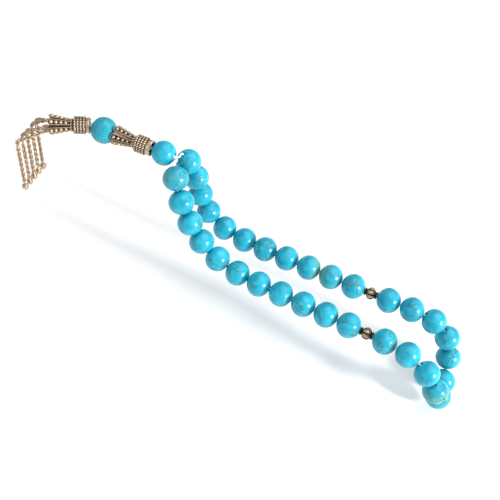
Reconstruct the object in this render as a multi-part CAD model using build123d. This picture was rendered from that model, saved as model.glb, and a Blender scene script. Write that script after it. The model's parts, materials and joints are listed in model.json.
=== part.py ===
"""Misbaha: thirty-three round stone prayer beads in three groups of eleven, two metal
dividers, a gathering bead, and a head of two metal caps, a faceted bead and a chain tassel.

Millimetres, +Z up. The origin is the rest point on a ledge, straight below the gathering
bead. The head lies back along -X, and both strands fall over the ledge's edge, run along a
lower step in +X and hang in a loop over the step's end.
"""
import os
from math import cos, radians, sin, tan

from build123d import *

# ---- beads and dividers
bead_length = 10.0
bead_swell = 1.05
bead_bore = 1.8
bore_chamfer = 0.25
bead_gap = 0.08
beads_per_group = 11
divider_diameter = 5.2
divider_length = 5.3
divider_lobes = 8
rim_share = 0.62
rim_width = 0.7

# ---- string
string_diameter = 0.8
first_bead_reach = 11.35
edge_slack = 0.25
loop_slack = 0.08
sharing = 0.45

# ---- head
head_bore = 2.8
gathering_diameter = 10.0
faceted_diameter = 11.0
faceted_length = 10.4
faceted_facets = 8
facet_reach = 0.955
cap_length = 16.5
cap_petals = 6
cap_mouth_radius = 4.1
cap_collar_radius = 3.7
cap_neck_radius = 2.2
cap_wall = 0.45
upper_cap_end = -5.7
faceted_centre = -26.9
head_height = 5.0
lower_cap_end = (-33.1, -0.2, 5.0)
lower_cap_heading = 206.0

# ---- tassel
knot_radius = 1.5
knot_depth = 9.0
ring_depth = 11.8
ring_radius = 1.25
ring_wire = 0.6
chain_width = 1.7
chain_start_depth = 13.9
chain_circle = 1.7
chain_angles = (0, 72, -72, 144, -144)
chain_edge_y = (-4.0, -7.4, -10.8, -14.2, -17.6)
chain_edge_x = -54.2
chain_hang_x = -56.8
chain_hang_top = -3.4
chain_link_gap = 0.4
chain_end_chamfer = 0.35
chain_hang_length = 20.0
drop_radius = 1.35
drop_length = 4.4

# The string's way, from the knot through the head, out along the front strand, round the
# hanging loop and home along the back strand. Between beads it turns, in them it runs straight.
string_route = [
    (-40.0, -4.0, 5),
    (-32.6, -0.45, 5),
    (6.6, -0.45, 5),
    (6, -3.6, 5.2),
    (10.5, -8.5, -4),
    (15, -10.5, -13),
    (20, -10.5, -22.5),
    (27, -11, -30.5),
    (36.5, -11.5, -35),
    (46, -12.5, -35.5),
    (62, -13.5, -35),
    (92, -15, -35.5),
    (112, -16.5, -34.5),
    (122, -19.5, -35),
    (129.5, -21, -42),
    (133, -20.5, -52.5),
    (133.5, -12.5, -60),
    (133, -2, -58.5),
    (131, 3.5, -49.5),
    (126.5, 3.5, -39),
    (117, 3.5, -34.5),
    (92, 4, -35.5),
    (60, 4.5, -35),
    (40, 5.5, -35.5),
    (30, 7, -36.5),
    (20, 8, -33.5),
    (14, 8, -25),
    (12, 7.5, -15),
    (10.5, 6.5, -5),
    (6, 3.3, 5.3),
    (6.6, 0.45, 5),
    (-32.8, 0.45, 5),
    (-40.4, -3.3, 5),
]

BEAD = bead_length / 2
DIVIDER = divider_length / 2
FRONT = Vector(cos(radians(lower_cap_heading)), sin(radians(lower_cap_heading)), 0)


# ---- string path
def corner_radii(points):
    """The largest arc that each corner's two runs leave room for."""
    radii = []
    for before, corner, after in zip(points, points[1:], points[2:]):
        come = Vector(*corner) - Vector(*before)
        leave = Vector(*after) - Vector(*corner)
        half_turn = radians(come.get_angle(leave) / 2)
        radii.append(sharing * min(come.length, leave.length) / tan(half_turn))
    return radii


def make_path(points):
    return FilletPolyline(*points, radius=corner_radii(points))


def tube(path, diameter):
    start = Plane(origin=path @ 0, z_dir=path % 0)
    return sweep(start * Circle(diameter / 2), path=path)


class Walk:
    """Finds places along a path by their distance from other places."""

    def __init__(self, path):
        self.path = path
        self.length = path.length

    def at(self, run):
        return self.path @ (min(max(run, 0.0), self.length) / self.length)

    def chord(self, run, reach, way):
        """The point of the path that lies `reach` away from the point at `run`."""
        here = self.at(run)
        near, far = 0.0, reach * 1.6
        for _ in range(18):
            middle = (near + far) / 2
            if (self.at(run + way * middle) - here).length < reach:
                near = middle
            else:
                far = middle
        return self.at(run + way * near)

    def seat(self, run, reach):
        """Centre and axis of a bored piece that the string holds midway in its bore."""
        behind = self.chord(run, reach, -1)
        ahead = self.chord(run, reach, 1)
        centre = (self.at(run) + (behind + ahead) / 2) / 2
        return centre, (ahead - behind).normalized()

    def next_seat(self, last_centre, last_run, distance, reach):
        """The next seat along the path whose centre is `distance` from the last one."""
        near, far = last_run + distance * 0.8, last_run + distance * 1.6
        for _ in range(18):
            middle = (near + far) / 2
            if (self.seat(middle, reach)[0] - last_centre).length < distance:
                near = middle
            else:
                far = middle
        return near, self.seat(near, reach)


# ---- pieces, each made along +Z with its middle or its end at the origin
def make_bead(diameter, swell, bore):
    """A round bead, a little wider across than along its bore, with a chamfer at each mouth."""
    ball = scale(Sphere(diameter / 2), by=(swell, swell, 1))
    mouth = ((diameter / 2) ** 2 - (bore / 2) ** 2) ** 0.5
    hole = Cylinder(bore / 2, diameter + 1)
    for end in (-1, 1):
        flare = Cone(bore / 2, bore / 2 + 2 * bore_chamfer, 2 * bore_chamfer)
        flare = Rot(0, 0 if end > 0 else 180, 0) * flare
        hole += Pos(0, 0, end * mouth) * flare
    return ball - hole


def make_divider():
    """A lobed metal bead between two rims."""
    belly = divider_diameter / 2
    rim = belly * rim_share
    half = DIVIDER
    with BuildSketch(Plane.XZ) as section:
        with BuildLine():
            Polyline((bead_bore / 2, -half), (rim, -half), (rim, rim_width - half))
            ThreePointArc((rim, rim_width - half), (belly, 0), (rim, half - rim_width))
            Polyline((rim, half - rim_width), (rim, half), (bead_bore / 2, half), (bead_bore / 2, -half))
        make_face()
    body = revolve(section.sketch, Axis.Z)
    groove = Pos(belly + 0.1, 0, 0) * Cylinder(0.4, divider_length)
    for lobe in range(divider_lobes):
        body -= Rot(0, 0, 360 * lobe / divider_lobes) * groove
    return body


def make_faceted():
    """A round bead cut flat all over: rings of facets from pole to pole, and a bore."""
    radius = faceted_diameter / 2
    body = Sphere(radius) & Cylinder(radius, faceted_length)
    for latitude in (-45, 0, 45):
        shift = 0.5 if latitude else 0
        for facet in range(faceted_facets):
            turn = 360 * (facet + shift) / faceted_facets
            cutter = Pos(radius * facet_reach + 2, 0, 0) * Box(4, 8, 8)
            body -= Rot(0, 0, turn) * Rot(0, -latitude, 0) * cutter
    return body - Cylinder(head_bore / 2, faceted_diameter + 1)


def make_cap():
    """A cast cap: a ribbed collar with a hollow end, a neck, and petals that open from it."""
    mouth = cap_mouth_radius
    collar = cap_collar_radius
    neck = cap_neck_radius
    bore = head_bore / 2
    rib = 1.2
    with BuildSketch(Plane.XZ) as section:
        with BuildLine():
            Polyline((2.4, 0), (3.1, 0), (3.3, 1.4), (collar - 0.3, 1.6))
            for index in range(4):
                low = 1.6 + index * rib
                ThreePointArc((collar - 0.3, low), (collar, low + rib / 2), (collar - 0.3, low + rib))
            Polyline(
                (collar - 0.3, 1.6 + 4 * rib),
                (neck, 7.2),
                (neck, 7.6),
                (mouth, cap_length),
                (mouth - cap_wall, cap_length),
                (neck - cap_wall, 7.8),
                (bore, 7.0),
                (bore, 1.2),
                (2.4, 1.2),
                (2.4, 0),
            )
        make_face()
    body = revolve(section.sketch, Axis.Z)
    notch = Pos(mouth, 0, cap_length + 0.3) * Rot(0, 90, 0) * Cylinder(0.9, 4)
    for petal in range(cap_petals):
        body -= Rot(0, 0, 360 * (petal + 0.5) / cap_petals) * notch
    return body


def along(centre, axis):
    return Plane(origin=centre, z_dir=axis).location


# ---- the string and what is on it
string_path = make_path(string_route)
walk = Walk(string_path)


def place_strand():
    """Name, centre and axis of every bead and divider, in the string's order."""
    names = []
    for group in ("front", "middle", "back"):
        names += [f"bead_{group}_{number:02d}" for number in range(1, beads_per_group + 1)]
        if group != "back":
            names.append("divider_front" if group == "front" else "divider_back")
    gathering = Vector(0, 0, head_height)
    head_run = 40.0
    run, seat = walk.next_seat(gathering, head_run, first_bead_reach, BEAD - 0.6)
    places = {names[0]: seat}
    for before, name in zip(names, names[1:]):
        half_before = BEAD if before.startswith("bead") else DIVIDER
        half = BEAD if name.startswith("bead") else DIVIDER
        distance = half_before + half + bead_gap
        if name in ("bead_middle_02", "bead_middle_03"):
            distance += edge_slack
        if name in ("bead_middle_05", "bead_middle_06", "bead_middle_07"):
            distance += loop_slack
        run, seat = walk.next_seat(seat[0], run, distance, half - 0.6)
        places[name] = seat
    return places


def chain_points(number):
    """A chain's way from the ring, out between the petals and down over the ledge's edge."""
    angle = radians(chain_angles[number])
    side = chain_circle * cos(angle)
    up = chain_circle * sin(angle)
    across = Vector(FRONT.Y, -FRONT.X, 0)
    root = Vector(*lower_cap_end)
    start = root + FRONT * chain_start_depth + across * side + Vector(0, 0, up)
    mouth = root + FRONT * (cap_length + 0.8) + across * side * 1.4 + Vector(0, 0, up * 1.2 - 0.4)
    edge_y = chain_edge_y[number]
    bend = Vector(chain_edge_x, edge_y, 2.4 + 0.5 * up)
    top = Vector(chain_hang_x, edge_y, 0.8)
    end = Vector(chain_hang_x, edge_y, chain_hang_top)
    return [tuple(point) for point in (start, mouth, bend, top, end)]


def main():
    os.makedirs("parts", exist_ok=True)
    nodes = {}
    bead = make_bead(bead_length, bead_swell, bead_bore)
    divider = make_divider()
    places = place_strand()
    for name, (centre, axis) in places.items():
        nodes[name] = along(centre, axis) * (bead if name.startswith("bead") else divider)

    gathering = make_bead(gathering_diameter, 1, head_bore)
    nodes["gathering_bead"] = along(Vector(0, 0, head_height), Vector(1, 0, 0)) * gathering
    nodes["upper_cap"] = along(Vector(upper_cap_end, 0, head_height), Vector(-1, 0, 0)) * make_cap()
    nodes["faceted_bead"] = along(Vector(faceted_centre, 0, head_height), Vector(-1, 0, 0)) * make_faceted()
    nodes["lower_cap"] = along(Vector(*lower_cap_end), FRONT) * make_cap()

    string = tube(string_path, string_diameter)
    nodes["string"] = string
    root = Vector(*lower_cap_end)
    nodes["string_knot"] = along(root + FRONT * knot_depth, FRONT) * Sphere(knot_radius)
    ring_place = Plane(origin=root + FRONT * ring_depth, z_dir=(0, 0, 1)).location
    nodes["tassel_ring"] = ring_place * Torus(ring_radius, ring_wire / 2)

    for number in range(len(chain_angles)):
        path = make_path(chain_points(number))
        nodes[f"chain_{number + 1}_laid"] = tube(path, chain_width)
        top = Vector(chain_hang_x, chain_edge_y[number], chain_hang_top - chain_link_gap)
        hanging = Cylinder(chain_width / 2, chain_hang_length)
        hanging = chamfer(hanging.faces().sort_by(Axis.Z)[-1].edges(), chain_end_chamfer)
        nodes[f"chain_{number + 1}_hanging"] = Pos(top.X, top.Y, top.Z - chain_hang_length / 2) * hanging
        drop = Pos(top.X, top.Y, top.Z - chain_hang_length - drop_length / 2)
        body = Sphere(drop_radius) + Pos(0, 0, drop_length / 4) * Cone(drop_radius * 0.97, 0.5, drop_length / 2)
        nodes[f"chain_{number + 1}_drop"] = drop * body

    for name, shape in nodes.items():
        shape.label = name
        export_step(shape, f"parts/{name}.step")

    radii = [round(radius, 1) for radius in corner_radii(string_route)]
    print("string radii", radii)
    section = 3.14159265 * (string_diameter / 2) ** 2
    print("string length", round(string_path.length, 1), "volume", round(string.volume, 2),
          "section times length", round(section * string_path.length, 2))


if __name__ == "__main__":
    main()
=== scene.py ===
import json
from math import atan2, cos, hypot, pi, radians, sin, sqrt
from random import Random

import bmesh
import bpy
from mathutils import Euler, Matrix, Vector

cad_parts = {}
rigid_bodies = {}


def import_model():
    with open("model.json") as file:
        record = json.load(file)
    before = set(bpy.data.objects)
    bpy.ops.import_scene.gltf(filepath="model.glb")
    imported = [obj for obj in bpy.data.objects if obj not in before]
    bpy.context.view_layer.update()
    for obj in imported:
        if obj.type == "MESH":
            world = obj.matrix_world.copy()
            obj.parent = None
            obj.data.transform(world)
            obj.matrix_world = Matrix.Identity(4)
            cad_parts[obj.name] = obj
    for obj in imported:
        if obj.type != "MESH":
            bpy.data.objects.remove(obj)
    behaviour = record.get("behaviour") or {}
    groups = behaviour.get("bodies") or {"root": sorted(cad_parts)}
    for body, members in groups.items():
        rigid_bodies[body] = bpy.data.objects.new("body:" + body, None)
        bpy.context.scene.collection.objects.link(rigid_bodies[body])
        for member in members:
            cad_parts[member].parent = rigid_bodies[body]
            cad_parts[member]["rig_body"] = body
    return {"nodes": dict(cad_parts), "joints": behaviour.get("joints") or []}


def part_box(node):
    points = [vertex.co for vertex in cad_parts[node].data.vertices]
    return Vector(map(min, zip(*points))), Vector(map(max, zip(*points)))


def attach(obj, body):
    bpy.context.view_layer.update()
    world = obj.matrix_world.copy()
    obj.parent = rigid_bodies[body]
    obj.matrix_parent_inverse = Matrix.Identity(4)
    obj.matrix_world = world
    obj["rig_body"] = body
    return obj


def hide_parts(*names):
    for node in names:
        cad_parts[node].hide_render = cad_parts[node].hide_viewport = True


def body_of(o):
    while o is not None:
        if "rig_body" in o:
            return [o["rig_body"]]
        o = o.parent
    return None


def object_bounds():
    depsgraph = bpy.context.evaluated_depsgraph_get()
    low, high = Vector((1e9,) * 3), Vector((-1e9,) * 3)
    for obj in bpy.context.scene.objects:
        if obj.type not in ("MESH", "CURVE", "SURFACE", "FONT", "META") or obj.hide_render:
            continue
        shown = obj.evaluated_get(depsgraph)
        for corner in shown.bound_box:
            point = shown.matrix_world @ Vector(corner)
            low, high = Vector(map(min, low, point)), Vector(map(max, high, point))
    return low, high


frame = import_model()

cad_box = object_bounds()


# ---- The viewpoint
# A short portrait lens, looking down on the head and the strands from the front, a little
# to the right of them.
camera_place = (0.11303, -0.21172, 0.24615)
camera_turn = (38.55, -4.14, 24.16)
camera_lens = 61.6
film_width = 36

bpy.ops.object.camera_add(location=camera_place, rotation=[radians(turn) for turn in camera_turn])
camera = bpy.context.object
camera.name = "viewpoint"
camera.data.lens = camera_lens
camera.data.sensor_width = film_width
camera.data.clip_start = 0.005
bpy.context.scene.camera = camera
bpy.context.scene.view_settings.view_transform = "Standard"


# ---- The string
# One length of braided white nylon. It starts in the knot under the lower cap, runs through the
# head, out along the front strand, round the loop and back along the other strand to the knot.
string_width = 0.0008
plait_turns = 900
# Painted shade: the grey stands for the shade in the plait's grooves, on nylon that is white all over.
nylon_groove_shade = (0.86, 0.85, 0.82)
nylon_white = (0.95, 0.95, 0.93)
string_route = [
    (-0.04, -0.004, 0.005),
    (-0.0326, -0.00045, 0.005),
    (-0.025, -0.00045, 0.005),
    (0.0034, -0.00045, 0.005),
    (0.0066, -0.00045, 0.005),
    (0.006, -0.0036, 0.0052),
    (0.0073, -0.005, 0.0026),
    (0.0105, -0.0085, -0.004),
    (0.015, -0.0105, -0.013),
    (0.02, -0.0105, -0.0225),
    (0.027, -0.011, -0.0305),
    (0.0365, -0.0115, -0.035),
    (0.046, -0.0125, -0.0355),
    (0.062, -0.0135, -0.035),
    (0.092, -0.015, -0.0355),
    (0.112, -0.0165, -0.0345),
    (0.122, -0.0195, -0.035),
    (0.1295, -0.021, -0.042),
    (0.133, -0.0205, -0.0525),
    (0.1335, -0.0125, -0.06),
    (0.133, -0.002, -0.0585),
    (0.131, 0.0035, -0.0495),
    (0.1265, 0.0035, -0.039),
    (0.117, 0.0035, -0.0345),
    (0.1065, 0.0037, -0.0349),
    (0.092, 0.004, -0.0355),
    (0.06, 0.0045, -0.035),
    (0.04, 0.0055, -0.0355),
    (0.03, 0.007, -0.0365),
    (0.02, 0.008, -0.0335),
    (0.014, 0.008, -0.025),
    (0.012, 0.0075, -0.015),
    (0.0105, 0.0065, -0.005),
    (0.0071, 0.0041, 0.0027),
    (0.006, 0.0033, 0.0053),
    (0.0066, 0.00045, 0.005),
    (0.0034, 0.00045, 0.005),
    (-0.025, 0.00045, 0.005),
    (-0.0328, 0.00045, 0.005),
    (-0.0404, -0.0033, 0.005),
]


class Wire:
    """What comes out of a shader node, written in sums with numbers and with other wires."""

    def __init__(self, tree, socket):
        self.tree = tree
        self.socket = socket

    def node(self, kind, settings, sockets, output=0):
        made = self.tree.nodes.new(kind)
        for name, value in settings.items():
            if name == "stops":
                ramp = made.color_ramp.elements
                while len(ramp) < len(value):
                    ramp.new(0.5)
                for element, (place, colour) in zip(ramp, value):
                    element.position = place
                    element.color = (*colour, 1)
            else:
                setattr(made, name, value)
        for name, value in sockets.items():
            if isinstance(value, Wire):
                self.tree.links.new(value.socket, made.inputs[name])
            else:
                made.inputs[name].default_value = value
        return Wire(self.tree, made.outputs[output])

    def maths(self, operation, first, second):
        return self.node("ShaderNodeMath", {"operation": operation}, {0: first, 1: second})

    def __add__(self, other):
        return self.maths("ADD", self, other)

    def __sub__(self, other):
        return self.maths("SUBTRACT", self, other)

    def __rsub__(self, other):
        return self.maths("SUBTRACT", other, self)

    def __mul__(self, other):
        return self.maths("MULTIPLY", self, other)

    __radd__ = __add__
    __rmul__ = __mul__

    def step(self, low, high):
        """0 below low, 1 above high, and a soft rise between."""
        settings = {"interpolation_type": "SMOOTHSTEP"}
        sockets = {"Value": self, "From Min": low, "From Max": high}
        return self.node("ShaderNodeMapRange", settings, sockets)

    def noise(self, scale, detail=3, roughness=0.55):
        sockets = {"Vector": self, "Scale": scale, "Detail": detail, "Roughness": roughness}
        return self.node("ShaderNodeTexNoise", {}, sockets, "Fac")

    def tint(self, one, other):
        """One colour where this is 0, the other where it is 1."""
        paint = [value if isinstance(value, Wire) else (*value, 1) for value in (one, other)]
        sockets = {0: self, 6: paint[0], 7: paint[1]}
        return self.node("ShaderNodeMix", {"data_type": "RGBA"}, sockets, 2)

    def relief(self, depth):
        """A bumped surface, as high as depth where this is 1."""
        sockets = {"Height": self, "Distance": depth, "Strength": 1.0}
        return self.node("ShaderNodeBump", {}, sockets, "Normal")


def new_finish(name, coordinate="Object"):
    """A material, its shader's inputs, and a wire of the place on the piece."""
    finish = bpy.data.materials.new(name)
    finish.use_nodes = True
    tree = finish.node_tree
    shader = next(node for node in tree.nodes if node.type == "BSDF_PRINCIPLED")
    place = Wire(tree, tree.nodes.new("ShaderNodeTexCoord").outputs[coordinate])
    return finish, shader.inputs, place


def feed(socket, wire):
    wire.tree.links.new(wire.socket, socket)


def lay_line(name, points):
    """An open smooth line that is led by the points."""
    curve = bpy.data.curves.new(name, "CURVE")
    curve.dimensions = "3D"
    spline = curve.splines.new("NURBS")
    spline.points.add(len(points) - 1)
    for knot, point in zip(spline.points, points):
        knot.co = (*point, 1)
    spline.order_u = 3
    spline.use_endpoint_u = True
    curve.resolution_u = 12
    line = bpy.data.objects.new(name, curve)
    bpy.context.scene.collection.objects.link(line)
    return line


def line_points(points):
    """The line's own places, in order, close together."""
    line = lay_line("guide", points)
    mesh = bpy.data.meshes.new_from_object(line)
    places = [vertex.co.copy() for vertex in mesh.vertices]
    bpy.data.objects.remove(line)
    bpy.data.meshes.remove(mesh)
    return places


white_nylon, surface, place = new_finish("white_nylon", "UV")
unrolled = place.node("ShaderNodeMapping", {}, {"Vector": place, "Scale": (plait_turns, 4, 1)})
plait = place.node("ShaderNodeTexWave", {"bands_direction": "DIAGONAL"},
                   {"Vector": unrolled, "Scale": 1.0, "Distortion": 0.4}, "Fac")
# The plait's grooves are painted grey as painted shade, and its ridges are left white.
feed(surface["Base Color"], plait.tint(nylon_groove_shade, nylon_white))
feed(surface["Normal"], plait.relief(0.00004))
surface["Roughness"].default_value = 0.75
surface["Sheen Weight"].default_value = 0.2

string = lay_line("string_braid", string_route)
string.data.bevel_depth = string_width / 2
string.data.bevel_resolution = 4
string.data.use_fill_caps = True
string.data.materials.append(white_nylon)
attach(string, "root")
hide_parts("string")


# ---- The thirty-three counting beads
# Balls of dyed turquoise stone with brown and green matrix, drilled through and tumbled to a
# soft polish. Each is turned at its own angle, so that no two show the same vein.
bead_radius = 0.005
bead_swell = 1.05
bead_bore = 0.0018
mouth_flare = 0.00022
ball_fineness = {"segments": 56, "ring_count": 40}
stone_bright = (0.012, 0.385, 0.530)
stone_deep = (0.006, 0.240, 0.350)
stone_pale = (0.055, 0.460, 0.540)
stone_green = (0.085, 0.330, 0.270)
vein_olive = (0.045, 0.120, 0.085)
vein_brown = (0.120, 0.085, 0.035)
chances = Random(33)


def pick(part, test, kind="VERT"):
    """Selects what passes a test on its place and normal, in edit mode."""
    bpy.ops.mesh.select_mode(type=kind)
    bpy.ops.mesh.select_all(action="DESELECT")
    cage = bmesh.from_edit_mesh(part.data)
    for piece in cage.verts if kind == "VERT" else cage.faces:
        spot = piece.co if kind == "VERT" else piece.calc_center_median()
        if test(spot, piece.normal):
            piece.select_set(True)
    cage.select_flush_mode()
    bmesh.update_edit_mesh(part.data)


def begin(add, **sizes):
    """Adds a primitive and opens it for editing."""
    bpy.ops.object.select_all(action="DESELECT")
    add(**sizes)
    part = bpy.context.object
    bpy.ops.object.mode_set(mode="EDIT")
    bpy.ops.mesh.select_mode(type="VERT")
    bpy.ops.mesh.select_all(action="SELECT")
    return part


def close(part, name, angle=40):
    """Points the faces out, leaves edit mode and smooths the shading up to an angle."""
    bpy.ops.mesh.select_all(action="SELECT")
    bpy.ops.mesh.normals_make_consistent(inside=False)
    bpy.ops.object.mode_set(mode="OBJECT")
    bpy.ops.object.shade_smooth_by_angle(angle=radians(angle))
    part.name = name
    part.data.transform(part.matrix_world)
    part.matrix_world = Matrix.Identity(4)
    return part


def stretch(across, along=1.0):
    """Sizes what is selected, across the axis and along it."""
    bpy.ops.transform.resize(value=(across, across, along), center_override=(0, 0, 0))


def drill(ball, radius, bore):
    """Opens both poles of a ball, flares the mouths and joins them by a bore."""
    rim = bore / 2 + mouth_flare
    shoulder = rim - mouth_flare / 2
    pick(ball, lambda spot, normal: hypot(spot.x, spot.y) < rim * 1.02)
    bpy.ops.mesh.delete(type="VERT")
    cage = bmesh.from_edit_mesh(ball.data)
    ring = min(hypot(vertex.co.x, vertex.co.y) for vertex in cage.verts)
    bpy.ops.mesh.select_non_manifold()
    stretch(rim / ring, sqrt((radius**2 - rim**2) / (radius**2 - ring**2)))
    for inner, outer, sink in ((shoulder, rim, 0.992), (bore / 2, shoulder, 0.965)):
        bpy.ops.mesh.extrude_region_move()
        stretch(inner / outer, sink)
    bpy.ops.mesh.bridge_edge_loops()


def turned_to(node, axis, spin=0.0):
    """Where a piece that was made along +Z has to go to stand on the node's own axis."""
    low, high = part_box(node)
    face = Vector(axis).to_track_quat("Z", "Y").to_matrix().to_4x4()
    return Matrix.Translation((low + high) / 2) @ face @ Matrix.Rotation(spin, 4, "Z")


def put(pattern, node, name, matrix):
    """A copy with its own mesh, put in place, which stands for the node and moves with it."""
    piece = bpy.data.objects.new(name, pattern.data.copy())
    bpy.context.scene.collection.objects.link(piece)
    piece.data.transform(matrix)
    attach(piece, body_of(frame["nodes"][node])[0])
    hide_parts(node)
    return piece


def stone_finish(name, bright, deep, green_share, vein_share):
    """Dyed stone: clouded blue, green patches, and olive matrix in long broken lines."""
    finish, surface, place = new_finish(name)
    cloud = place.noise(210, 4)
    patch = place.noise(48, 2).step(0.60 - green_share, 0.74 - green_share)
    bend = place.node("ShaderNodeTexNoise", {}, {"Vector": place, "Scale": 150, "Detail": 3}, "Color")
    bent = place.node("ShaderNodeVectorMath", {"operation": "MULTIPLY_ADD"},
                      {0: bend, 1: (0.007, 0.007, 0.007), 2: place})
    edges = {"feature": "DISTANCE_TO_EDGE"}
    long_edge = place.node("ShaderNodeTexVoronoi", edges, {"Vector": bent, "Scale": 105}, "Distance")
    net_edge = place.node("ShaderNodeTexVoronoi", edges, {"Vector": bent, "Scale": 330}, "Distance")
    where = place.noise(75, 2).step(0.56 - vein_share, 0.64 - vein_share)
    vein = (1 - long_edge.step(0.0, 0.030)) * where
    net = (1 - net_edge.step(0.0, 0.09)) * patch
    ground = cloud.step(0.3, 0.75).tint(bright, deep)
    ground = (place.noise(330, 4).step(0.52, 0.75) * 0.45).tint(ground, stone_pale)
    ground = (patch * 0.6).tint(ground, stone_green)
    ground = (net * 0.65).tint(ground, vein_brown)
    feed(surface["Base Color"], (vein * 0.85).tint(ground, vein_olive))
    feed(surface["Roughness"], 0.2 + vein * 0.3 + net * 0.15 + cloud * 0.1)
    height = cloud * 0.15 - vein * 0.4 - net * 0.2
    feed(surface["Normal"], height.relief(0.00014))
    surface["IOR"].default_value = 1.5
    surface["Specular IOR Level"].default_value = 0.4
    return finish


turquoise = stone_finish("turquoise", stone_bright, stone_deep, 0.03, 0.09)

bead = begin(bpy.ops.mesh.primitive_uv_sphere_add, radius=bead_radius, **ball_fineness)
stretch(bead_swell)
drill(bead, bead_radius, bead_bore)
close(bead, "bead_pattern")
bead.data.materials.append(turquoise)

axis_of = {joint["child"]: joint["axis"] for joint in frame["joints"]}
strand_nodes = sorted(node for node in frame["nodes"] if node.startswith("bead_"))
for node in strand_nodes:
    matrix = turned_to(node, axis_of[node], chances.uniform(0, 2 * pi))
    put(bead, node, node + "_stone", matrix)


# ---- The two dividers
# Small cast metal beads with eight lobes and a plain lip at each end. They part the strand
# into three elevens. The casting is blackened, and then rubbed bright on what stands up.
divider_radius = 0.0026
divider_half = 0.00265
divider_lobes = 8
divider_eye = 0.0009
lip_share = 0.62
groove_steps = ((0.80, 0.14), (0.93, 0.30))
metal_bright = (0.63, 0.49, 0.35)
metal_tarnish = (0.26, 0.195, 0.135)
metal_brown = (0.062, 0.042, 0.028)
metal_black = (0.010, 0.008, 0.006)


def metal_finish(name, bright, dull, rough=0.30):
    """Worn casting: brown in the hollows, rubbed on the edges, with small pits."""
    finish, surface, place = new_finish(name)
    edge = place.node("ShaderNodeNewGeometry", {}, {}, "Pointiness").step(0.465, 0.56)
    stain = place.noise(900, 4).step(0.35, 0.7)
    pits = place.noise(3800, 2, 0.5)
    worn = edge * 0.75 + stain * 0.25
    feed(surface["Base Color"], worn.tint(dull, bright))
    feed(surface["Roughness"], rough + (1 - worn) * 0.22 + pits * 0.08)
    feed(surface["Normal"], (pits + stain * 0.5).relief(0.00003))
    surface["Metallic"].default_value = 0.9
    return finish


silver = metal_finish("antiqued_silver", metal_bright, metal_brown)
# Black patina in the grooves and hollows, and painted shade inside the caps' hollow ends.
patina_and_shade = metal_finish("patina_and_painted_shade", metal_brown, metal_black, 0.5)
tarnished = metal_finish("tarnished_channel", metal_tarnish, metal_brown, 0.4)


def spun(profile, sides=48):
    """A turned piece: rings drawn out one from the next, and the last closed on the first."""
    radius, height = profile[0]
    ring = begin(bpy.ops.mesh.primitive_circle_add, vertices=sides, radius=radius,
                 location=(0, 0, height))
    for next_radius, next_height in profile[1:]:
        rise = next_height - height
        bpy.ops.mesh.extrude_region_move(TRANSFORM_OT_translate={"value": (0, 0, rise)})
        stretch(next_radius / radius)
        radius, height = next_radius, next_height
    bpy.ops.mesh.select_all(action="DESELECT")
    bpy.ops.mesh.select_mode(type="EDGE")
    bpy.ops.mesh.select_non_manifold()
    bpy.ops.mesh.bridge_edge_loops()
    return ring


def ball_at(place, radius, fineness=3):
    """A small polished ball."""
    bpy.ops.object.select_all(action="DESELECT")
    bpy.ops.mesh.primitive_ico_sphere_add(subdivisions=fineness, radius=radius, location=place)
    ball = bpy.context.object
    bpy.ops.object.shade_smooth()
    ball.data.transform(ball.matrix_world)
    ball.matrix_world = Matrix.Identity(4)
    ball.data.materials.append(silver)
    return ball


def ball_ring(count, ring_radius, height, radius, fineness=3):
    """Balls set in a ring round the piece's own axis."""
    balls = []
    for index in range(count):
        turn = 2 * pi * index / count
        place = (ring_radius * cos(turn), ring_radius * sin(turn), height)
        balls.append(ball_at(place, radius, fineness))
    return balls


def join(parts, name):
    bpy.ops.object.select_all(action="DESELECT")
    for part in parts:
        part.select_set(True)
    bpy.context.view_layer.objects.active = parts[0]
    bpy.ops.object.join()
    parts[0].name = name
    return parts[0]


lip = divider_radius * lip_share
half_lobe = pi / divider_lobes
upper_lip = [(lip, 0.8), (lip * 1.04, 0.9), (lip, 1.0), (divider_eye, 1.0)]
divider_profile = [(radius, -share * divider_half) for radius, share in reversed(upper_lip)]
for belly_turn in range(-66, 67, 11):
    turn = radians(belly_turn)
    divider_profile.append((divider_radius * cos(turn), divider_half * 0.8 * sin(turn)))
divider_profile += [(radius, share * divider_half) for radius, share in upper_lip]


def from_groove(spot):
    """The angle from a place to the middle of the nearest groove between two lobes."""
    return abs((atan2(spot.y, spot.x) % (2 * half_lobe)) - half_lobe)


divider = spun(divider_profile)
for depth, spread in groove_steps:
    pick(divider, lambda spot, normal: abs(spot.z) < divider_half * 0.76
         and from_groove(spot) < half_lobe * spread
         and hypot(spot.x, spot.y) > divider_radius * 0.4)
    stretch(depth)
close(divider, "divider_pattern", 55)
divider.data.materials.append(silver)
divider.data.materials.append(patina_and_shade)
for face in divider.data.polygons:
    up = abs(face.center.z) / divider_half
    if up > 0.66 or (up < 0.7 and from_groove(face.center) < half_lobe * 0.42):
        face.material_index = 1
for node in ("divider_front", "divider_back"):
    put(divider, node, node + "_casting", turned_to(node, axis_of[node], 0.3))


# ---- The gathering bead
# One more ball of the same stone. It has a wider bore, because both ends of the string come
# together in it and go on into the head.
gathering_bore = 0.0028

gathering = begin(bpy.ops.mesh.primitive_uv_sphere_add, radius=bead_radius, **ball_fineness)
drill(gathering, bead_radius, gathering_bore)
close(gathering, "gathering_pattern")
gathering.data.materials.append(turquoise)
put(gathering, "gathering_bead", "gathering_bead_stone",
    turned_to("gathering_bead", (1, 0, 0), 1.1))


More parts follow.
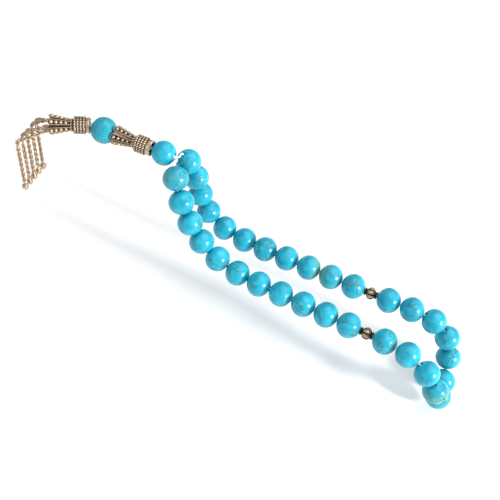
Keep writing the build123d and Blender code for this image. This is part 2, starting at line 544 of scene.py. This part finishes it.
# ---- The two caps
# Twin castings on either side of the faceted bead. Each has a collar of four twisted ropes round
# a hollow end, a beaded neck, and six tongues that open out. A tongue has a raised rim round a
# tarnished channel, with a row of balls in it that grow towards the tip.
cap_length = 0.0165
collar_radius = 0.0031
rope_radius = 0.0006
rope_pitch = 0.0012
rope_start = 0.0020
rope_steps = 120
rope_sides = 12
collar_balls = {"count": 9, "ring_radius": 0.0027, "radius": 0.00066}
neck_balls = {"count": 14, "ring_radius": 0.00225, "radius": 0.00048}
neck_height = 0.0073
tongue_count = 6
tongue_length = 0.0090
tongue_tip = 0.00138
tongue_neck = 0.00078
tongue_slope = 10.0
tongue_depth = 0.0005
rim_width = 0.00026
channel_depth = 0.00036
channel_slope = 0.00006
tongue_rounding = 0.00009
tongue_root_radius = 0.00185
tongue_root_height = 0.0076
ball_pitch = 0.0019
cap_profile = [
    (0.0014, 0.0010), (0.0024, 0.0010), (0.0024, 0.0001), (0.0030, 0.0001), (0.0032, 0.0004),
    (0.0031, 0.0014), (0.0029, 0.0016), (0.0029, 0.0064), (0.0024, 0.0068), (0.0020, 0.0072),
    (0.0019, 0.0077), (0.0025, 0.0112), (0.00305, 0.0145), (0.0032, 0.0157), (0.0029, 0.0157),
    (0.0022, 0.0116), (0.0016, 0.0080), (0.0014, 0.0073),
]


def soften(part, width, angle, segments):
    """Rounds the edges that turn by more than an angle."""
    rounding = part.modifiers.new("rounding", "BEVEL")
    rounding.width = width
    rounding.segments = segments
    rounding.limit_method = "ANGLE"
    rounding.angle_limit = radians(angle)
    bpy.context.view_layer.objects.active = part
    bpy.ops.object.modifier_apply(modifier="rounding")
    part.select_set(True)
    bpy.ops.object.shade_smooth_by_angle(angle=radians(20))


def rope_ring(height):
    """A ring of twisted rope, with slanting grooves."""
    ring = begin(bpy.ops.mesh.primitive_torus_add, major_radius=collar_radius,
                 minor_radius=rope_radius, major_segments=rope_steps, minor_segments=rope_sides,
                 location=(0, 0, height))

    def in_groove(spot, normal):
        along = atan2(spot.y, spot.x) / (2 * pi) * rope_steps
        around = atan2(spot.z, hypot(spot.x, spot.y) - collar_radius) / (2 * pi) * rope_sides
        return (along + around * 0.9) % 6 < 2

    pick(ring, in_groove, "FACE")
    bpy.ops.transform.shrink_fatten(value=-rope_radius * 0.28)
    close(ring, "rope", 80)
    ring.data.materials.append(silver)
    ring.data.materials.append(patina_and_shade)
    for face in ring.data.polygons:
        if in_groove(face.center - Vector((0, 0, height)), None):
            face.material_index = 1
    return ring


def tongue(ball_sizes):
    """A flat tongue from its root at the origin out along +X, with its face up."""
    tip_centre = tongue_length - tongue_tip
    plate = begin(bpy.ops.mesh.primitive_circle_add, vertices=40, radius=tongue_tip,
                  fill_type="NGON", location=(tip_centre, 0, 0))
    pick(plate, lambda spot, normal: spot.x < -0.00001)
    bpy.ops.transform.resize(value=(1, tongue_neck / tongue_tip, 1),
                             center_override=(tip_centre, 0, 0))
    bpy.ops.transform.translate(value=(-tip_centre, 0, 0))
    bpy.ops.mesh.select_all(action="SELECT")
    bpy.ops.mesh.normals_make_consistent(inside=False)
    pick(plate, lambda spot, normal: True, "FACE")
    bpy.ops.mesh.extrude_region_move(TRANSFORM_OT_translate={"value": (0, 0, tongue_depth)})
    bpy.ops.mesh.inset(thickness=rim_width, depth=0)
    bpy.ops.mesh.inset(thickness=channel_slope, depth=-channel_depth)
    close(plate, "tongue", 40)
    plate.data.materials.append(silver)
    plate.data.materials.append(tarnished)
    soften(plate, tongue_rounding, 30, 2)
    for face in plate.data.polygons:
        if face.center.z < tongue_depth - channel_depth / 2 and face.normal.z > 0.3:
            face.material_index = 1
    parts = [plate]
    for index, size in enumerate(ball_sizes):
        parts.append(ball_at((tip_centre - ball_pitch * index, 0, size * 0.55), size))
    return join(parts, "tongue")


def cast_cap(name, ball_sizes, dark_cone, rim_reach):
    """A whole cap that stands on its collar, with a rim that reaches on toward its bead."""
    reach = [(radius, height - rim_reach * (height < 0.0005)) for radius, height in cap_profile]
    shell = close(spun(reach), "shell", 50)
    shell.data.materials.append(silver)
    shell.data.materials.append(patina_and_shade)
    # Painted shade: the shell's inside faces and its mouth are painted black where shade falls. Under
    # the ropes the black is patina. On the lower cap the cone beyond the neck is painted dark as well.
    for face in shell.data.polygons:
        spot = face.center
        across = hypot(spot.x, spot.y)
        inside = spot.x * face.normal.x + spot.y * face.normal.y < 0
        under_ropes = rope_start - 0.0004 < spot.z < 0.0070
        in_mouth = spot.z < 0.0011 and across < 0.0024
        if inside or under_ropes or in_mouth or (dark_cone and spot.z > 0.0078):
            face.material_index = 1
    parts = [shell]
    parts += [rope_ring(rope_start + 0.0003 + rope_pitch * index) for index in range(4)]
    parts += ball_ring(height=0.0004 - rim_reach, **collar_balls)
    parts += ball_ring(height=neck_height, **neck_balls)
    slope = radians(tongue_slope)
    stand = Matrix(((sin(slope), 0, cos(slope), tongue_root_radius), (0, -1, 0, 0),
                    (cos(slope), 0, -sin(slope), tongue_root_height), (0, 0, 0, 1)))
    for index in range(tongue_count):
        piece = tongue(ball_sizes)
        piece.data.transform(Matrix.Rotation(2 * pi * index / tongue_count, 4, "Z") @ stand)
        parts.append(piece)
    return join(parts, name)


upper_balls = (0.00068, 0.00062, 0.00056, 0.00050)
lower_balls = (0.00084, 0.00076, 0.00068, 0.00060)
upper_cap = cast_cap("upper_cap_pattern", upper_balls, False, 0.0006)
lower_cap = cast_cap("lower_cap_pattern", lower_balls, True, 0.0)

from_middle = Matrix.Translation((0, 0, -cap_length / 2))
upper_place = turned_to("upper_cap", (-1, 0, 0), radians(30)) @ from_middle
put(upper_cap, "upper_cap", "upper_cap_casting", upper_place)
heading = Vector(axis_of["lower_cap"])
lower_end = Vector((-0.0331, -0.0002, 0.005))
lower_place = Matrix.Translation(lower_end) @ heading.to_track_quat("Z", "Y").to_matrix().to_4x4()
put(lower_cap, "lower_cap", "lower_cap_casting", lower_place)


# ---- The faceted bead
# A larger ball of the same stone between the two caps. Flat facets are ground on it in rings
# from pole to pole, and the last polish leaves their edges soft.
faceted_radius = 0.0055
facet_count = 18
facet_rings = 11
faceted_bright = (0.016, 0.320, 0.410)
faceted_deep = (0.010, 0.230, 0.310)

faceted = begin(bpy.ops.mesh.primitive_uv_sphere_add, segments=facet_count, ring_count=facet_rings,
                radius=faceted_radius)
drill(faceted, faceted_radius, gathering_bore)
close(faceted, "faceted_pattern", 7)
soften(faceted, 0.00018, 7, 3)
plain_turquoise = stone_finish("faceted_turquoise", faceted_bright, faceted_deep, -0.2, -0.4)
faceted.data.materials.append(plain_turquoise)
put(faceted, "faceted_bead", "faceted_bead_stone",
    turned_to("faceted_bead", (-1, 0, 0), 0.4))


# ---- The string's knot and the tassel's ring
# Both ends of the string are tied in a hard round knot under the lower cap's neck. A jump ring
# hangs from it and carries the five chains.
knot_radius = 0.0015
wrap_turns = ((0, 0), (60, 75), (120, 75), (0, 75))
chain_bright = (0.54, 0.40, 0.265)
chain_dull = (0.16, 0.11, 0.07)

wraps = []
for turn, lean in wrap_turns:
    wrap = begin(bpy.ops.mesh.primitive_torus_add, major_radius=knot_radius - string_width / 2,
                 minor_radius=string_width / 2, major_segments=36, minor_segments=10)
    close(wrap, "wrap", 60)
    wrap.data.transform(Euler((radians(lean), 0, radians(turn))).to_matrix().to_4x4())
    wrap.data.materials.append(white_nylon)
    wraps.append(wrap)
knot = join(wraps, "knot_pattern")
put(knot, "string_knot", "string_knot_wraps", turned_to("string_knot", heading))

chain_silver = metal_finish("chain_silver", chain_bright, chain_dull, 0.28)
ring_node = frame["nodes"]["tassel_ring"]
ring_node.data.materials.clear()
ring_node.data.materials.append(chain_silver)


# ---- The five chains
# Oval links of silver-toned wire, each turned a quarter from the last. The chains come out
# between the tongues, cross the ledge side by side and hang over its far edge.
link_wire = 0.0003
link_half_width = 0.00092
link_straight = 0.0005
link_pitch = 0.0015
edge_places = (-0.004, -0.0074, -0.0108, -0.0142, -0.0176)
chain_angles = (0, 72, -72, 144, -144)
chain_circle = 0.0017
chain_start = 0.0139
chain_mouth = 0.0173
edge_x = -0.0542
hang_x = -0.0568
hang_top = -0.0034

link = begin(bpy.ops.mesh.primitive_torus_add, major_radius=link_half_width - link_wire,
             minor_radius=link_wire, major_segments=20, minor_segments=8)
pick(link, lambda spot, normal: spot.x > 0)
bpy.ops.transform.translate(value=(link_straight, 0, 0))
pick(link, lambda spot, normal: spot.x <= 0)
bpy.ops.transform.translate(value=(-link_straight, 0, 0))
close(link, "link_pattern", 80)
link.data.materials.append(chain_silver)


def chain_along(places, name, first_turn):
    """Links set a pitch apart along a line of places, each a quarter turn on from the last."""
    links = []
    run = link_pitch / 2
    gone = 0.0
    for here, there in zip(places, places[1:]):
        span = (there - here).length
        while gone + span >= run:
            middle = here.lerp(there, (run - gone) / span)
            roll = first_turn + pi / 2 * len(links) + chances.uniform(-0.25, 0.25)
            face = (there - here).to_track_quat("X", "Z").to_matrix().to_4x4()
            piece = bpy.data.objects.new("link", link.data.copy())
            bpy.context.scene.collection.objects.link(piece)
            rolled = face @ Matrix.Rotation(roll, 4, "X")
            piece.data.transform(Matrix.Translation(middle) @ rolled)
            links.append(piece)
            run += link_pitch
        gone += span
    return join(links, name)


sideways = Vector((heading.y, -heading.x, 0))
for index, (edge_y, angle) in enumerate(zip(edge_places, chain_angles)):
    number = index + 1
    side = sideways * chain_circle * cos(radians(angle))
    rise = chain_circle * sin(radians(angle))
    start = lower_end + heading * chain_start + side + Vector((0, 0, rise))
    mouth = lower_end + heading * chain_mouth + side * 1.4 + Vector((0, 0, rise * 1.2 - 0.0004))
    bend = Vector((edge_x, edge_y, 0.0024 + 0.5 * rise))
    over = Vector((hang_x, edge_y, 0.0008))
    laid = line_points([start, mouth, bend, over, Vector((hang_x, edge_y, hang_top))])
    chain = chain_along(laid, f"chain_{number}_laid_links", 0.8 * index)
    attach(chain, "root")
    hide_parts(f"chain_{number}_laid")

    low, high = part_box(f"chain_{number}_hanging")
    middle = (low + high) / 2
    hang = [Vector((middle.x, middle.y, high.z + 0.0004)), Vector((middle.x, middle.y, low.z))]
    chain = chain_along(hang, f"chain_{number}_hanging_links", 0.8 * index + 0.5)
    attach(chain, f"chain_{number}_end")
    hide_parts(f"chain_{number}_hanging")


# ---- The drops on the chains' ends
# A small cast drop closes each chain: a round belly under a drawn-out neck with a grained
# girdle, and an eye at its top for the last link.
drop_profile = [
    (0.00002, -0.0022), (0.0005, -0.00212), (0.00095, -0.0018), (0.00125, -0.0013), (0.00135, -0.0008),
    (0.00128, -0.0003), (0.00105, 0.0002), (0.00075, 0.0007), (0.00052, 0.0012), (0.00042, 0.0015),
    (0.00002, 0.0016),
]
eye_radius = 0.0004
eye_wire = 0.00016
eye_height = 0.0018
girdle = {"count": 14, "ring_radius": 0.00122, "height": -0.0001, "radius": 0.00022}

belly = close(spun(drop_profile, 32), "belly", 60)
belly.data.materials.append(silver)
eye = begin(bpy.ops.mesh.primitive_torus_add, major_radius=eye_radius, minor_radius=eye_wire,
            major_segments=24, minor_segments=8)
close(eye, "eye", 60)
eye.data.transform(Matrix.Translation((0, 0, eye_height)) @ Matrix.Rotation(pi / 2, 4, "X"))
eye.data.materials.append(silver)
drop = join([belly, eye] + ball_ring(fineness=2, **girdle), "drop_pattern")
for number in range(1, 6):
    put(drop, f"chain_{number}_drop", f"chain_{number}_drop_casting",
        turned_to(f"chain_{number}_drop", (0, 0, 1), number))

for pattern in (bead, divider, gathering, upper_cap, lower_cap, faceted, knot, link, drop):
    bpy.data.objects.remove(pattern)


# ---- The floor and the light
# A plain pale floor lies under the loop's lowest bead. A small bright lamp stands to the right,
# a large soft one above and behind, and a weak one fills in from the front.
floor_height = cad_box[0][2]
lamp_aim = (0.05, 0, -0.02)
room_colour = (0.93, 0.95, 1.0, 1)
room_strength = 0.5

bpy.ops.object.select_all(action="DESELECT")
bpy.ops.mesh.primitive_plane_add(size=4, location=(0, 0, floor_height))
floor = bpy.context.object
floor.name = "floor"
paper, surface, place = new_finish("pale_paper")
feed(surface["Base Color"], place.noise(40, 3).tint((0.86, 0.86, 0.86), (0.90, 0.90, 0.895)))
surface["Roughness"].default_value = 0.8
floor.data.materials.append(paper)


def soft_lamp(name, place, size, power, colour):
    lamp = bpy.data.lights.new(name, "AREA")
    lamp.size = size
    lamp.energy = power
    lamp.color = colour
    stand = bpy.data.objects.new(name, lamp)
    stand.location = place
    stand.rotation_euler = (Vector(place) - Vector(lamp_aim)).to_track_quat("Z", "Y").to_euler()
    bpy.context.scene.collection.objects.link(stand)


soft_lamp("key_lamp", (1.0, -0.16, 0.30), 0.14, 14, (1.0, 0.98, 0.95))
soft_lamp("high_lamp", (0.3, 0.35, 0.85), 1.1, 8, (1.0, 0.99, 0.97))
soft_lamp("fill_lamp", (-0.4, -0.6, 0.5), 0.8, 2, (0.95, 0.98, 1.0))
world = bpy.context.scene.world or bpy.data.worlds.new("room")
bpy.context.scene.world = world
world.use_nodes = True
room = next(node for node in world.node_tree.nodes if node.type == "BACKGROUND").inputs
room["Color"].default_value = room_colour
room["Strength"].default_value = room_strength
